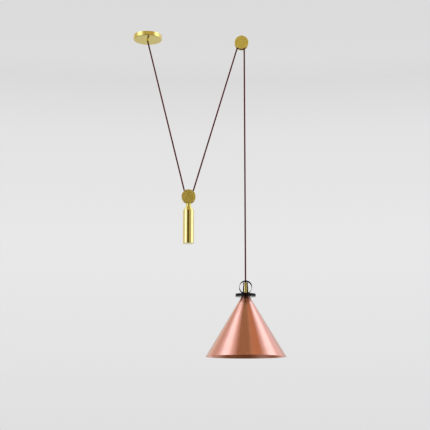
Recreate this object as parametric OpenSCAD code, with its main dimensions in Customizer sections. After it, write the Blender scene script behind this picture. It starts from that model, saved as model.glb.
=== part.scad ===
// Rise and fall pendant: a conical metal shade on a cloth-covered cord. The cord runs
// from a ceiling canopy down under a counterweight's pulley, up over a ceiling pulley
// and down to the lamp, so the lamp stays where a hand leaves it.
// Millimetres. The origin is the centre of the canopy's ceiling face. +Z is up, +X goes
// from the canopy to the ceiling pulley, and the front is -Y.

/* [Layout] */
// Distance from the canopy's centre to the ceiling pulley's axle
pulley_x = 425; // [330:5:560]
// Distance from the canopy's centre to the counterweight's axis
weight_x = 189; // [140:1:240]
// Depth of the counterweight pulley's axle below the ceiling
weight_drop = 744; // [560:1:900]
// Depth of the top of the lamp's hoop below the ceiling
lamp_drop = 1116; // [960:2:1400]

/* [Cord] */
// Diameter of the cloth-covered cord
cord_d = 6.6; // [5:0.1:6.6]
// Clearance all round the cord in a groove or a hole
cord_clearance = 0.3; // [0.2:0.05:0.5]
// Radius from a sheave's axle to the middle of the cord
pitch_r = 12; // [11.5:0.5:14]
// Radius of the cord's bend at the canopy's outlet
outlet_bend_r = 12; // [8:1:20]
// Diameter of one insulated wire inside the cord
wire_d = 1.9; // [1.6:0.1:2.2]
// Straight length of each wire where it leaves the cord
wire_start = 0.8; // [0.6:0.1:1.2]

/* [Canopy] */
// Outside diameter of the ceiling canopy
canopy_d = 128; // [122:1:160]
// Height of the canopy below the ceiling
canopy_h = 19; // [15:0.5:24]
// Wall of the canopy
canopy_wall = 1.5; // [0.8:0.1:2]
// Radius of the canopy's lower edge
canopy_edge_r = 2; // [1:0.5:5]
// Distance between the strap's two slots
slot_spacing = 88.9; // [80:0.1:92]
// Length of each slot in the strap
slot_length = 14; // [8:0.5:18]
// Width of each slot in the strap
slot_w = 4.8; // [4:0.1:6]
// Overall length of the strap
strap_l = 112; // [108:1:114]
// Width of the strap
strap_w = 22; // [18:1:26]
// Thickness of the strap
strap_t = 1.6; // [1.2:0.1:2]
// Gap between the strap's raised middle and the canopy's floor
strap_gap = 3; // [2.5:0.5:4]
// Diameter of the brass outlet's head below the canopy
outlet_d = 12; // [11:0.5:18]
// Height of the brass outlet's head
outlet_h = 6; // [4:0.5:10]
// Diameter of the hollow threads on the canopy outlet and the lamp nipple
tube_thread_d = 10; // [9.4:0.1:10.6]

/* [Terminal block] */
// Length of the terminal block along X
block_w = 24; // [22:0.5:28]
// Depth of the terminal block
block_d = 13; // [11:0.5:16]
// Height of the terminal block
block_h = 7; // [6.4:0.1:7.4]
// Distance between two terminals
terminal_pitch = 8; // [7.4:0.1:8.6]

/* [Pulleys] */
// Diameter of the plain brass discs
disc_d = 62; // [58:1:76]
// Thickness of each brass disc
disc_t = 5; // [4:0.5:8]
// Distance between the two discs of a pulley
disc_gap = 14; // [12:0.5:20]
// Gap between the ceiling and the top of the ceiling pulley's discs
ceiling_gap = 2.5; // [1:0.5:8]
// Radius of a sheave's flanges
flange_r = 17; // [16:0.5:17.5]
// Gap between a sheave's side and the disc beside it
sheave_side_gap = 1; // [0.8:0.1:1.5]
// Diameter of a pulley's axle
axle_d = 6; // [5:0.5:7]
// Wall of the bush in a sheave
bush_wall = 1.8; // [1:0.1:2]
// Diameter of the screws that join a pulley's discs
disc_screw_d = 4; // [3:0.5:5]
// Diameter of the ceiling pulley's boss against the ceiling
boss_d = 14; // [12:0.5:14]
// Diameter of the tapped hole for the ceiling stud
stud_hole_d = 6.8; // [5:0.1:8]
// Depth of the tapped hole for the ceiling stud
stud_hole_depth = 12; // [8:0.5:12.5]

/* [Counterweight] */
// Diameter of the counterweight's body
weight_d = 48.5; // [44:0.5:60]
// Height of the counterweight's body, from the shoulder to the bottom
weight_h = 146; // [100:2:220]
// Wall of the counterweight's sleeve
sleeve_wall = 1.5; // [1:0.1:3]
// Diameter of the counterweight's neck
neck_d = 21.5; // [18:0.5:26]
// Height of the neck between the discs and the shoulder
neck_h = 11.5; // [8:0.5:30]
// Height of the sloping shoulder
shoulder_h = 19; // [8:0.5:24]
// Thickness of the end cap at the bottom
end_cap_t = 5; // [4:0.5:10]
// Diameter of the tie stud through the core
tie_stud_d = 8; // [6:0.5:10]

/* [Hoop and stem] */
// Outside diameter of the black hoop
hoop_d = 55; // [54:1:72]
// Thickness of the hoop's strip
hoop_t = 1; // [1:0.1:2.4]
// Width of the hoop's strip, from front to back
hoop_w = 44; // [28:1:44]
// Diameter of the stem's upper part, the cord grip's cap
stem_cap_d = 20.5; // [19:0.5:21.5]
// Length of the cord grip's cap that shows
stem_cap_h = 17; // [12:0.5:20]
// Diameter of the stem's lower part
stem_d = 23; // [22:0.5:28]
// Bare cord between the hoop's top and the stem
cord_show = 7; // [6:0.5:12]
// Length of the saddle under the hoop, along X
saddle_l = 26; // [20:1:34]
// Least thickness of the saddle
saddle_t = 1; // [0.6:0.1:3]

/* [Shade] */
// Diameter of the black disc above the shade
cap_disc_d = 88; // [70:1:110]
// Thickness of the black disc above the shade
cap_disc_t = 12; // [8:0.5:16]
// Diameter of the shade at its top
shade_top_d = 35; // [35:1:60]
// Diameter of the shade at its rim
shade_d = 347; // [260:1:420]
// Height of the shade
shade_h = 257; // [200:0.5:320]
// Thickness of the shade's sheet
shade_t = 0.8; // [0.6:0.1:1.5]
// Diameter of the bead rolled at the rim
rim_bead_d = 2.4; // [2:0.1:4]

/* [Lampholder] */
// Outside diameter of the lampholder
holder_d = 38; // [34:0.5:42]
// Height of the lampholder's cap
holder_cap_h = 20; // [17:0.5:30]
// Height of the lampholder's shell
holder_shell_h = 30; // [28:1:40]
// Inside diameter of the screw shell that takes the bulb
bulb_thread_d = 26.6; // [26:0.1:27.2]
// Depth of the screw shell
bulb_thread_h = 25; // [22:0.5:26]

/* [Clearances] */
// Radial clearance of a sheave's bush on its axle
running_fit = 0.05; // [0.02:0.01:0.1]
// Radial clearance of a thread, a pin or a plug in its hole
close_fit = 0.05; // [0.02:0.01:0.1]
// Radial clearance of a screw in a plain hole
loose_fit = 0.2; // [0.1:0.05:0.4]
// Gap at the ends of each straight length of cord
cord_seam = 0.02; // [0.01:0.01:0.1]

/* [Hidden] */
$fn = 96;

brass = [0.76, 0.70, 0.35];
polished_brass = [0.80, 0.68, 0.35];
copper = [0.76, 0.44, 0.31];
black_paint = [0.05, 0.05, 0.06];
steel = [0.70, 0.71, 0.73];
dark_steel = [0.35, 0.36, 0.38];
plastic_white = [0.90, 0.90, 0.87];
plastic_black = [0.10, 0.10, 0.10];
cord_red = [0.25, 0.12, 0.11];

small = 1;                     // how far a cut runs past a face
edge = 0.5;                    // chamfer on turned edges
cord_r = cord_d / 2;
cord_hole_r = cord_r + cord_clearance;
tube_thread_r = tube_thread_d / 2;

// canopy
canopy_floor_z = canopy_wall - canopy_h;
strap_low_z = canopy_floor_z + strap_gap;
strap_top_z = strap_low_z + strap_t;
strap_bend_x = slot_spacing / 2 - slot_length / 2 - 3;
tab_margin = 1.5;
outlet_top_z = strap_top_z + 1.4;
outlet_low_z = -canopy_h - outlet_h;
outlet_screw_d = 3;
outlet_screw_z = -canopy_h - outlet_screw_d / 2 - 0.6;
outlet_flare = 1;
bend_start_z = outlet_low_z + 2.5;
cord_end_z = outlet_top_z;
block_y = strap_w / 2 + tab_margin + block_d / 2;
terminal_x = [-terminal_pitch, 0, terminal_pitch];
terminal_z = strap_top_z + 3.2;
terminal_hole_r = wire_d / 2 + loose_fit;
terminal_screw_d = 2.8;
terminal_screw_h = 2.2;
block_screw_d = 2.5;
block_screw_x = [-terminal_pitch / 2, terminal_pitch / 2];
block_head_d = 3.8;
block_head_h = 1.4;
earth_screw_d = 4;
earth_head_d = 7.5;
earth_head_h = 2.4;
earth_x = -strap_bend_x * 0.62;

// pulleys
disc_r = disc_d / 2;
half_gap = disc_gap / 2;
axle_r = axle_d / 2;
axle_depth = disc_t * 0.6;
bush_bore_r = axle_r + running_fit;
bush_r = bush_bore_r + bush_wall;
sheave_w = disc_gap - 2 * sheave_side_gap;
washer_t = sheave_side_gap - 0.3;
pulley_drop = ceiling_gap + disc_r;
block_inset = 1.5;
block_rise = flange_r + 2;
disc_screw_x = disc_r * 0.38;
disc_screw_rise = block_rise + disc_screw_d / 2 + 1.2;
disc_screw_head_r = disc_screw_d;
disc_screw_head_h = disc_screw_head_r - disc_screw_d / 2;
disc_screw_reach = disc_t * 0.7;
driver_slot_w = 0.8;

// counterweight, measured down from its axle
neck_top = disc_r + 0.5;
shoulder_top = neck_top + neck_h;
body_top = shoulder_top + shoulder_h;
body_low = body_top + weight_h;
spigot_h = 6;
core_r = weight_d / 2 - sleeve_wall - close_fit;
cap_spigot_z = -body_low + end_cap_t + spigot_h;
tie_depth = 9;
tie_screwed_in = end_cap_t + spigot_h - 3;

// lamp, measured along Z from the ceiling
lamp_x = pulley_x + pitch_r;
hoop_r = hoop_d / 2;
hoop_z = -lamp_drop - hoop_r;
hoop_bore_r = hoop_r - hoop_t;
saddle_inset = 3;
grommet_r = cord_hole_r + 1.5;
grommet_flange_r = grommet_r + 1.2;
grommet_flange_t = 0.8;
grommet_sag = hoop_bore_r - sqrt(pow(hoop_bore_r, 2) - pow(grommet_flange_r, 2));
grommet_flange_z = -lamp_drop - hoop_t - grommet_sag - 0.05;
stem_top_z = -lamp_drop - cord_show;
stem_seam_z = stem_top_z - stem_cap_h;
stem_low_z = hoop_z - hoop_bore_r;
cap_thread_r = stem_cap_d / 2 - 2.3;
cap_thread_h = 8;
cap_top_wall = 5;
grip_r = cap_thread_r - 1.6;
grip_low_z = stem_seam_z - cap_thread_h - 2;
nipple_top_z = grip_low_z - 3;
stem_screw_d = 4;
stem_screw_z = (nipple_top_z + stem_low_z) / 2;
disc_top_z = hoop_z - hoop_r - saddle_t;
disc_low_z = disc_top_z - cap_disc_t;
shade_rim_z = disc_low_z - shade_h;
rim_bead_r = rim_bead_d / 2;
shade_tan = (shade_d / 2 - rim_bead_r - shade_top_d / 2) / (shade_h - rim_bead_r);
shade_skin = shade_t * sqrt(1 + pow(shade_tan, 2));
washer_d = shade_top_d - 7;
shade_washer_t = 1.5;
locknut_t = 4;
locknut_r = 9.2;
locknut_z = disc_low_z - shade_t - shade_washer_t - locknut_t;
holder_r = holder_d / 2;
holder_top_z = locknut_z - 0.3;
holder_cap_wall = 3;
holder_roof = 5;
holder_cap_slope = 4;
holder_seam_z = holder_top_z - holder_cap_h;
holder_low_z = holder_seam_z - holder_shell_h;
holder_spigot_h = 6;
holder_floor_t = 7;
holder_floor_z = holder_seam_z + holder_spigot_h - holder_floor_t;
screw_shell_t = 0.5;
screw_shell_corner = 2.5;
screw_shell_r = bulb_thread_d / 2 + screw_shell_t;
screw_shell_low_z = holder_floor_z - bulb_thread_h;
nipple_low_z = holder_top_z - holder_roof - 1;
contact_r = 1.9;
contact_head_r = 4;
contact_head_h = 1.6;
lamp_cord_end_z = nipple_low_z - 1;
holder_wire_x = 7.5;

// the cord's straight runs: each is the common tangent of the two circles that it leaves
// and meets, so its slope follows from their centres and radii
left_span = [weight_x - outlet_bend_r, weight_drop + bend_start_z];
left_slope = atan2(left_span[0], left_span[1]) - asin((pitch_r - outlet_bend_r) / norm(left_span));
left_len = sqrt(pow(norm(left_span), 2) - pow(pitch_r - outlet_bend_r, 2));
left_start = [outlet_bend_r * (1 - cos(left_slope)), 0, bend_start_z - outlet_bend_r * sin(left_slope)];
right_span = [pulley_x - weight_x, weight_drop - pulley_drop];
right_slope = atan2(right_span[0], right_span[1]) - asin(2 * pitch_r / norm(right_span));
right_len = sqrt(pow(norm(right_span), 2) - pow(2 * pitch_r, 2));
right_start = [weight_x + pitch_r * cos(right_slope), 0, -weight_drop - pitch_r * sin(right_slope)];
drop_low_z = -lamp_drop + grommet_flange_t;

echo(left_slope = left_slope, right_slope = right_slope);
echo(weight_per_lamp_travel = -1 / (cos(left_slope) + cos(right_slope)));
echo(ceiling_sheave_rad_per_m = -1000 / pitch_r);
echo(weight_sheave_rad_per_m = 1000 / pitch_r * cos(left_slope) / (cos(left_slope) + cos(right_slope)));
echo(cord_runs = [left_len, right_len, -pulley_drop - drop_low_z]);

// ---- shapes that repeat ----

// A cylinder along Y, from y0 to y1, through the point (x, z)
module along_y(r, y0, y1, x = 0, z = 0) {
    translate([x, y1, z])
        rotate([90, 0, 0])
            cylinder(r = r, h = y1 - y0);
}

// A slab from y0 to y1 whose outline is drawn in X and Z
module slab_y(y0, y1) {
    translate([0, y1, 0])
        rotate([90, 0, 0])
            linear_extrude(y1 - y0)
                children();
}

// A cylinder down the Z axis, from z0 up to z1
module along_z(r, z0, z1) {
    translate([0, 0, z0])
        cylinder(r = r, h = z1 - z0);
}

// A turned disc from z0 to z1 with chamfered edges
module turned(r, z0, z1, chamfer = edge) {
    rotate_extrude()
        polygon([
            [0, z0], [r - chamfer, z0], [r, z0 + chamfer],
            [r, z1 - chamfer], [r - chamfer, z1], [0, z1],
        ]);
}

// A turned disc from z0 to z1 with a rounded lower edge
module rounded_below(r, z0, z1, edge_r) {
    rotate_extrude()
        union() {
            translate([0, z0 + edge_r])
                square([r, z1 - z0 - edge_r]);
            translate([0, z0])
                square([r - edge_r, edge_r + 0.01]);
            translate([r - edge_r, z0 + edge_r])
                circle(r = edge_r);
        }
}

// A slotted cheese-head screw, head down from z = 0 and its shank along +Z
module slotted_screw(d, length, head_d, head_h) {
    difference() {
        union() {
            along_z(head_d / 2, 0, head_h);
            along_z(d / 2, head_h - 0.01, head_h + length);
        }
        translate([-head_d, -driver_slot_w / 2, -small])
            cube([2 * head_d, driver_slot_w, small + head_h * 0.5]);
    }
}

// A headless screw along +Y from y0 to y1 with a slot in its outer end
module set_screw(d, y0, y1, z) {
    difference() {
        along_y(d / 2, y0, y1, 0, z);
        translate([-driver_slot_w / 2, y1 - 0.8, z - d])
            cube([driver_slot_w, 0.8 + small, 2 * d]);
    }
}

// A length of cord from a point, sloped in the XZ plane: slope 0 goes up
module straight_cord(start, slope, length) {
    translate(start)
        rotate([0, slope, 0])
            along_z(cord_r, cord_seam, length - cord_seam);
}

// The cord's arc round a circle in the XZ plane, between two angles from +X towards +Z
module cord_arc(radius, from, to) {
    rotate([90, 0, 0])
        rotate([0, 0, from])
            rotate_extrude(angle = to - from)
                translate([radius, 0])
                    circle(r = cord_r);
}

// A bent wire: a tube swept along points, with its rings kept square to one axis
function unit(v) = v / norm(v);
function bend(a, b, c, d, t) =
    pow(1 - t, 3) * a + 3 * pow(1 - t, 2) * t * b + 3 * (1 - t) * t * t * c + t * t * t * d;
function heading(path, i) =
    unit(path[min(i + 1, len(path) - 1)] - path[max(i - 1, 0)]);
function wire_ring(path, i, r, sides, axis) =
    let (u = unit(cross(heading(path, i), axis)), v = cross(heading(path, i), u))
    [for (k = [0 : sides - 1]) path[i] + r * (cos(360 * k / sides) * u + sin(360 * k / sides) * v)];

module wire(path, r, axis, sides = 8) {
    rings = [for (i = [0 : len(path) - 1]) each wire_ring(path, i, r, sides, axis)];
    last = (len(path) - 1) * sides;
    walls = [
        for (i = [0 : len(path) - 2], k = [0 : sides - 1])
            let (n = (k + 1) % sides, a = i * sides, b = a + sides)
            each [[a + k, b + n, b + k], [a + k, a + n, b + n]]
    ];
    polyhedron(
        points = rings,
        faces = concat(
            walls,
            [for (k = [1 : sides - 2]) [0, k + 1, k]],
            [for (k = [1 : sides - 2]) [last, last + k, last + k + 1]]
        )
    );
}

// ---- canopy ----

module canopy_cup() {
    color(brass)
        difference() {
            rounded_below(canopy_d / 2, -canopy_h, 0, canopy_edge_r);
            rounded_below(
                canopy_d / 2 - canopy_wall, canopy_floor_z, small,
                max(canopy_edge_r - canopy_wall, 0.4)
            );
            along_z(tube_thread_r + loose_fit, -canopy_h - small, 0);
        }
}

// The strap's middle stands down from its two feet, which lie against the ceiling box
module strap_outline() {
    foot_x = strap_l / 2;
    bend_in = strap_bend_x - strap_t;
    polygon([
        [-foot_x, 0], [-bend_in, 0], [-bend_in, strap_top_z], [bend_in, strap_top_z],
        [bend_in, 0], [foot_x, 0], [foot_x, -strap_t], [strap_bend_x, -strap_t],
        [strap_bend_x, strap_low_z], [-strap_bend_x, strap_low_z],
        [-strap_bend_x, -strap_t], [-foot_x, -strap_t],
    ]);
}

module strap_slot(x) {
    for (side = [-1, 1])
        translate([x + side * (slot_length - slot_w) / 2, 0, -strap_t - small])
            cylinder(r = slot_w / 2, h = strap_t + 2 * small);
    translate([x - (slot_length - slot_w) / 2, -slot_w / 2, -strap_t - small])
        cube([slot_length - slot_w, slot_w, strap_t + 2 * small]);
}

module canopy_strap() {
    color(steel)
        difference() {
            union() {
                slab_y(-strap_w / 2, strap_w / 2)
                    strap_outline();
                translate([-block_w / 2 - tab_margin, 0, strap_low_z])
                    cube([block_w + 2 * tab_margin, block_y + block_d / 2 + tab_margin, strap_t]);
            }
            for (side = [-1, 1])
                strap_slot(side * slot_spacing / 2);
            along_z(tube_thread_r + close_fit, strap_low_z - small, strap_top_z + small);
            translate([earth_x, 0, 0])
                along_z(earth_screw_d / 2 + close_fit, strap_low_z - small, strap_top_z + small);
            for (x = block_screw_x)
                translate([x, block_y, 0])
                    along_z(block_screw_d / 2 + close_fit, strap_low_z - small, strap_top_z + small);
        }
}

module canopy_outlet() {
    color(brass)
        difference() {
            union() {
                turned(outlet_d / 2, outlet_low_z, -canopy_h);
                along_z(tube_thread_r, -canopy_h - 0.01, outlet_top_z);
            }
            along_z(cord_hole_r, outlet_low_z - small, outlet_top_z + small);
            translate([0, 0, outlet_low_z])
                cylinder(r1 = cord_hole_r + outlet_flare, r2 = cord_hole_r, h = 3);
            along_y(outlet_screw_d / 2 + close_fit, 0, outlet_d, 0, outlet_screw_z);
        }
}

module outlet_set_screw() {
    color(dark_steel)
        set_screw(outlet_screw_d, cord_r + 0.1, outlet_d / 2 - 0.3, outlet_screw_z);
}

module terminal_block() {
    color(plastic_white)
        difference() {
            translate([-block_w / 2, block_y - block_d / 2, strap_top_z])
                cube([block_w, block_d, block_h]);
            for (x = terminal_x) {
                along_y(
                    terminal_hole_r, block_y - block_d / 2 - small, block_y + block_d / 2 + small,
                    x, terminal_z
                );
                translate([x, block_y, 0])
                    along_z(terminal_screw_d / 2 + close_fit, terminal_z, 0);
            }
            for (x = block_screw_x)
                translate([x, block_y, 0]) {
                    along_z(block_screw_d / 2 + loose_fit, strap_top_z - small, 0);
                    along_z(block_head_d / 2 + loose_fit, strap_top_z + block_h - block_head_h, 0);
                }
        }
}

module terminal_screws() {
    color(brass)
        for (x = terminal_x)
            translate([x, block_y, terminal_z + wire_d / 2 + 0.1])
                difference() {
                    cylinder(r = terminal_screw_d / 2, h = terminal_screw_h);
                    translate([-terminal_screw_d, -0.3, terminal_screw_h - 0.7])
                        cube([2 * terminal_screw_d, 0.6, 0.7 + small]);
                }
}

module block_screws() {
    color(steel)
        for (x = block_screw_x)
            translate([x, block_y, strap_top_z + block_h])
                rotate([180, 0, 0])
                    slotted_screw(
                        block_screw_d, block_h - block_head_h + strap_t + 1, block_head_d, block_head_h
                    );
}

module earth_screw() {
    color(brass)
        translate([earth_x, 0, strap_top_z + earth_head_h])
            rotate([180, 0, 0])
                slotted_screw(earth_screw_d, strap_t + strap_gap - 0.6, earth_head_d, earth_head_h);
}

// The cord's three wires leave its cut end and turn back into the terminals
module canopy_wires() {
    steps = 8;
    start_x = wire_d + 0.1;
    entry_y = block_y - block_d / 2;
    color(dark_steel)
        for (i = [-1, 0, 1]) {
            start = [i * start_x, 0, cord_end_z + wire_start];
            entry = [i * terminal_pitch, entry_y - 1, terminal_z];
            curve = [
                for (s = [0 : steps])
                    bend(start, start + [0, 0, 2.8], entry - [0, 5, 0], entry, s / steps)
            ];
            cut_end = start - [0, 0, wire_start];
            wire(concat([cut_end], curve, [entry + [0, block_d * 0.75, 0]]), wire_d / 2, [1, 0, 0]);
        }
}

module cord_in_canopy() {
    color(cord_red) {
        union() {
            along_z(cord_r, bend_start_z, cord_end_z);
            translate([outlet_bend_r, 0, bend_start_z])
                cord_arc(outlet_bend_r, 180, 180 + left_slope);
        }
    }
}

// ---- pulleys: drawn about the axle, with the plate or tongue on the side of rise ----

module disc_blank(y0, y1) {
    translate([0, y1, 0])
        rotate([90, 0, 0])
            turned(disc_r, 0, y1 - y0);
}

module front_disc(rise) {
    color(brass)
        difference() {
            disc_blank(-half_gap - disc_t, -half_gap);
            along_y(axle_r + close_fit, -half_gap - axle_depth, 0);
            for (side = [-1, 1])
                along_y(
                    disc_screw_d / 2 + close_fit, -half_gap - disc_screw_reach - 0.3, 0,
                    side * disc_screw_x, rise * disc_screw_rise
                );
        }
}

module back_disc(rise) {
    color(brass)
        difference() {
            disc_blank(half_gap, half_gap + disc_t);
            along_y(axle_r + close_fit, 0, half_gap + axle_depth);
            for (side = [-1, 1]) {
                along_y(
                    disc_screw_d / 2 + loose_fit, 0, disc_gap + disc_t,
                    side * disc_screw_x, rise * disc_screw_rise
                );
                translate([side * disc_screw_x, half_gap + disc_t + 0.01, rise * disc_screw_rise])
                    rotate([90, 0, 0])
                        cylinder(
                            r1 = disc_screw_head_r + loose_fit, r2 = disc_screw_d / 2 + loose_fit,
                            h = disc_screw_head_h + 0.01
                        );
            }
        }
}

// The part of a plate between the discs that lies beyond the sheave
module between_discs(rise, reach) {
    difference() {
        slab_y(-half_gap, half_gap)
            intersection() {
                circle(r = disc_r - block_inset);
                translate([-disc_r, rise > 0 ? block_rise : -block_rise - reach])
                    square([disc_d, reach]);
            }
        for (side = [-1, 1])
            along_y(
                disc_screw_d / 2 + loose_fit, -half_gap - small, half_gap + small,
                side * disc_screw_x, rise * disc_screw_rise
            );
    }
}

module disc_screws(rise) {
    color(steel)
        for (side = [-1, 1])
            translate([side * disc_screw_x, half_gap + disc_t, rise * disc_screw_rise])
                rotate([90, 0, 0])
                    difference() {
                        union() {
                            cylinder(r1 = disc_screw_head_r, r2 = disc_screw_d / 2, h = disc_screw_head_h);
                            cylinder(r = disc_screw_d / 2, h = disc_t + disc_gap + disc_screw_reach);
                        }
                        translate([0, 0, -small])
                            cylinder(r = disc_screw_d * 0.36, h = small + disc_screw_head_h * 0.9, $fn = 6);
                    }
}

module pulley_axle() {
    color(steel)
        along_y(axle_r, 0.1 - half_gap - axle_depth, half_gap + axle_depth - 0.1);
}

module pulley_washers() {
    color(plastic_white)
        for (side = [-1, 1])
            difference() {
                along_y(
                    bush_r + 1.2,
                    side < 0 ? -half_gap : half_gap - washer_t,
                    side < 0 ? washer_t - half_gap : half_gap
                );
                along_y(axle_r + loose_fit, -disc_gap, disc_gap);
            }
}

module sheave() {
    color(dark_steel)
        rotate([90, 0, 0])
            rotate_extrude()
                difference() {
                    translate([bush_r + close_fit, -sheave_w / 2])
                        square([flange_r - bush_r - close_fit, sheave_w]);
                    translate([pitch_r, 0])
                        circle(r = cord_hole_r);
                    polygon([
                        [pitch_r, -cord_hole_r], [flange_r + small, -cord_hole_r - 0.8],
                        [flange_r + small, cord_hole_r + 0.8], [pitch_r, cord_hole_r],
                    ]);
                }
}

module sheave_bush() {
    color(brass)
        difference() {
            along_y(bush_r, -sheave_w / 2, sheave_w / 2);
            along_y(bush_bore_r, -sheave_w, sheave_w);
        }
}

module at_ceiling_pulley() {
    translate([pulley_x, 0, -pulley_drop])
        children();
}

module at_weight_pulley() {
    translate([weight_x, 0, -weight_drop])
        children();
}

// Block between the ceiling pulley's discs, with a boss up to the ceiling
module ceiling_hanger() {
    color(brass)
        at_ceiling_pulley()
            difference() {
                union() {
                    between_discs(1, disc_r);
                    along_z(boss_d / 2, block_rise + 2, pulley_drop);
                }
                along_z(stud_hole_d / 2, pulley_drop - stud_hole_depth, pulley_drop + small);
            }
}

module ceiling_front_disc() {
    at_ceiling_pulley()
        front_disc(1);
}

module ceiling_back_disc() {
    at_ceiling_pulley()
        back_disc(1);
}

module ceiling_disc_screws() {
    at_ceiling_pulley()
        disc_screws(1);
}

module ceiling_axle() {
    at_ceiling_pulley()
        pulley_axle();
}

module ceiling_washers() {
    at_ceiling_pulley()
        pulley_washers();
}

module ceiling_sheave() {
    at_ceiling_pulley()
        sheave();
}

module ceiling_bush() {
    at_ceiling_pulley()
        sheave_bush();
}

// ---- counterweight ----

module weight_front_disc() {
    at_weight_pulley()
        front_disc(-1);
}

module weight_back_disc() {
    at_weight_pulley()
        back_disc(-1);
}

module weight_disc_screws() {
    at_weight_pulley()
        disc_screws(-1);
}

module weight_axle() {
    at_weight_pulley()
        pulley_axle();
}

module weight_washers() {
    at_weight_pulley()
        pulley_washers();
}

module weight_sheave() {
    at_weight_pulley()
        sheave();
}

module weight_bush() {
    at_weight_pulley()
        sheave_bush();
}

// One turned piece: the tongue between the discs, the neck, the shoulder and a spigot
module weight_neck() {
    tongue_w = sqrt(pow(neck_d / 2, 2) - pow(half_gap, 2)) * 2 - 2 * edge;
    color(brass)
        at_weight_pulley()
            difference() {
                union() {
                    between_discs(-1, disc_r);
                    translate([-tongue_w / 2, -half_gap, -neck_top - 0.01])
                        cube([tongue_w, disc_gap, neck_top - block_rise - 2]);
                    along_z(neck_d / 2, -shoulder_top - 0.01, -neck_top);
                    translate([0, 0, -body_top])
                        cylinder(r1 = weight_d / 2, r2 = neck_d / 2, h = shoulder_h);
                    along_z(core_r, -body_top - spigot_h, -body_top + 0.01);
                }
                along_z(tie_stud_d / 2 + close_fit, -body_top - spigot_h - small, -body_top + tie_depth);
            }
}

module weight_sleeve() {
    color(polished_brass)
        at_weight_pulley()
            difference() {
                along_z(weight_d / 2, -body_low + end_cap_t, -body_top);
                along_z(weight_d / 2 - sleeve_wall, -body_low, -body_top + small);
            }
}

module weight_core() {
    color(brass)
        at_weight_pulley()
            difference() {
                along_z(core_r, cap_spigot_z, -body_top - spigot_h);
                along_z(tie_stud_d / 2 + loose_fit, -body_low, -body_top);
            }
}

module weight_end_cap() {
    color(polished_brass)
        at_weight_pulley()
            difference() {
                union() {
                    rounded_below(weight_d / 2, -body_low, -body_low + end_cap_t, 1.2);
                    along_z(core_r, -body_low + end_cap_t - 0.01, cap_spigot_z);
                }
                along_z(tie_stud_d / 2 + close_fit, cap_spigot_z - tie_screwed_in, cap_spigot_z + small);
            }
}

module weight_tie_stud() {
    color(steel)
        at_weight_pulley()
            along_z(tie_stud_d / 2, cap_spigot_z - tie_screwed_in + 0.2, -body_top + tie_depth - 0.5);
}

// ---- lamp: hoop and stem ----

module at_lamp() {
    translate([lamp_x, 0, 0])
        children();
}

module hoop_band() {
    color(black_paint)
        at_lamp()
            difference() {
                along_y(hoop_r, -hoop_w / 2, hoop_w / 2, 0, hoop_z);
                along_y(hoop_bore_r, -hoop_w, hoop_w, 0, hoop_z);
                along_z(grommet_r + close_fit, hoop_z, -lamp_drop + small);
                along_z(tube_thread_r + loose_fit, hoop_z - hoop_d, hoop_z);
            }
}

module hoop_grommet() {
    color(plastic_black)
        at_lamp()
            difference() {
                union() {
                    along_z(grommet_flange_r, -lamp_drop, -lamp_drop + grommet_flange_t);
                    along_z(grommet_r, grommet_flange_z - 0.01, -lamp_drop + 0.01);
                    along_z(grommet_flange_r, grommet_flange_z - grommet_flange_t, grommet_flange_z);
                }
                along_z(cord_hole_r, hoop_z, -lamp_drop + 2 * grommet_flange_t);
            }
}

// The saddle fills the space between the round hoop and the flat disc
module hoop_saddle() {
    color(black_paint)
        at_lamp()
            difference() {
                slab_y(saddle_inset - hoop_w / 2, hoop_w / 2 - saddle_inset)
                    difference() {
                        translate([-saddle_l / 2, disc_top_z])
                            square([saddle_l, hoop_r]);
                        translate([0, hoop_z])
                            circle(r = hoop_r + 0.02);
                        translate([-saddle_l, hoop_z - hoop_r * 0.86])
                            square([2 * saddle_l, 2 * hoop_r]);
                    }
                along_z(tube_thread_r + loose_fit, disc_top_z - small, hoop_z);
            }
}

module stem_cap() {
    color(polished_brass)
        at_lamp()
            difference() {
                union() {
                    turned(stem_cap_d / 2, stem_seam_z, stem_top_z);
                    along_z(cap_thread_r, stem_seam_z - cap_thread_h, stem_seam_z + small);
                }
                along_z(cord_hole_r, stem_seam_z - cap_thread_h - small, stem_top_z + small);
                along_z(grip_r + close_fit, stem_seam_z - cap_thread_h - small, stem_top_z - cap_top_wall);
            }
}

// The lower stem stands on the inside of the hoop, so its foot has the hoop's curve
module stem_body() {
    color(polished_brass)
        at_lamp()
            difference() {
                intersection() {
                    turned(stem_d / 2, stem_low_z - small, stem_seam_z);
                    along_y(hoop_bore_r - 0.02, -stem_d, stem_d, 0, hoop_z);
                }
                along_z(cap_thread_r + close_fit, grip_low_z, stem_seam_z + small);
                along_z(tube_thread_r + close_fit, stem_low_z - 2 * small, grip_low_z + small);
                along_y(stem_screw_d / 2 + close_fit, 0, stem_d, 0, stem_screw_z);
            }
}

module stem_set_screw() {
    color(dark_steel)
        at_lamp()
            set_screw(stem_screw_d, tube_thread_r + 0.1, stem_d / 2 - 0.4, stem_screw_z);
}

module cord_grip() {
    color(plastic_black)
        at_lamp()
            difference() {
                along_z(grip_r, grip_low_z, stem_top_z - cap_top_wall - 0.2);
                along_z(cord_r + 0.1, grip_low_z - small, stem_top_z);
            }
}

module lamp_nipple() {
    color(steel)
        at_lamp()
            difference() {
                along_z(tube_thread_r, nipple_low_z, nipple_top_z);
                along_z(cord_hole_r, nipple_low_z - small, nipple_top_z + small);
            }
}

// ---- lamp: disc, shade and lampholder ----

module cap_disc() {
    color(black_paint)
        at_lamp()
            difference() {
                turned(cap_disc_d / 2, disc_low_z, disc_top_z, 1);
                along_z(tube_thread_r + loose_fit, disc_low_z - small, disc_top_z + small);
            }
}

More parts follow.
